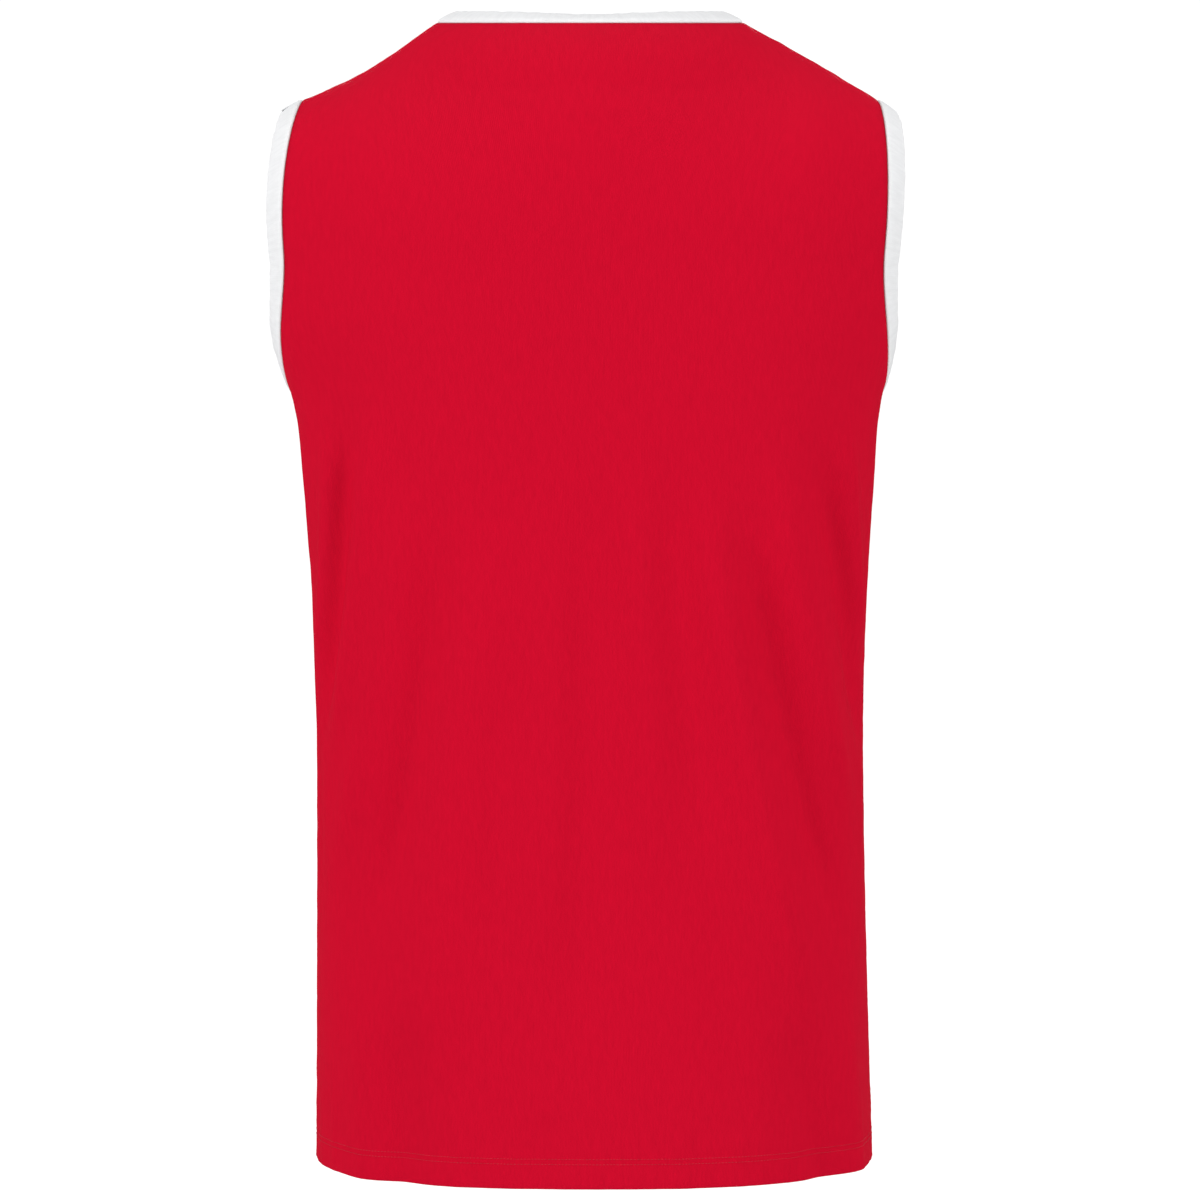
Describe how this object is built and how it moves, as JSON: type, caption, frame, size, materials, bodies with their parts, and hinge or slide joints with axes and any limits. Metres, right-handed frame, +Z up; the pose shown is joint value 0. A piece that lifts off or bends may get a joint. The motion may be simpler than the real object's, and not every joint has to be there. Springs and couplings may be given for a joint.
{
  "type": "sleeveless training shirt",
  "caption": "Sleeveless training shirt in knitted jersey, filled out as if worn, open at neck, hem and armholes, with contrast bands.",
  "frame": {"origin": "midway between the two points where the shoulder seams meet the neck, where the wearer's shoulders hold the shirt", "axes": "+Z up to the neck, -Y towards the wearer's front, +X towards the wearer's left"},
  "size_m": [0.3893, 0.2517, 0.7127],
  "materials": {
    "red_jersey": "matt polyester jersey with fine wales",
    "white_band": "matt white jersey, doubled"
  },
  "bodies": {
    "root": {"back_panel": "red_jersey", "front_panel": "red_jersey", "neck_band": "white_band", "armhole_band_left": "white_band", "armhole_band_right": "white_band"}
  },
  "joints": []
}
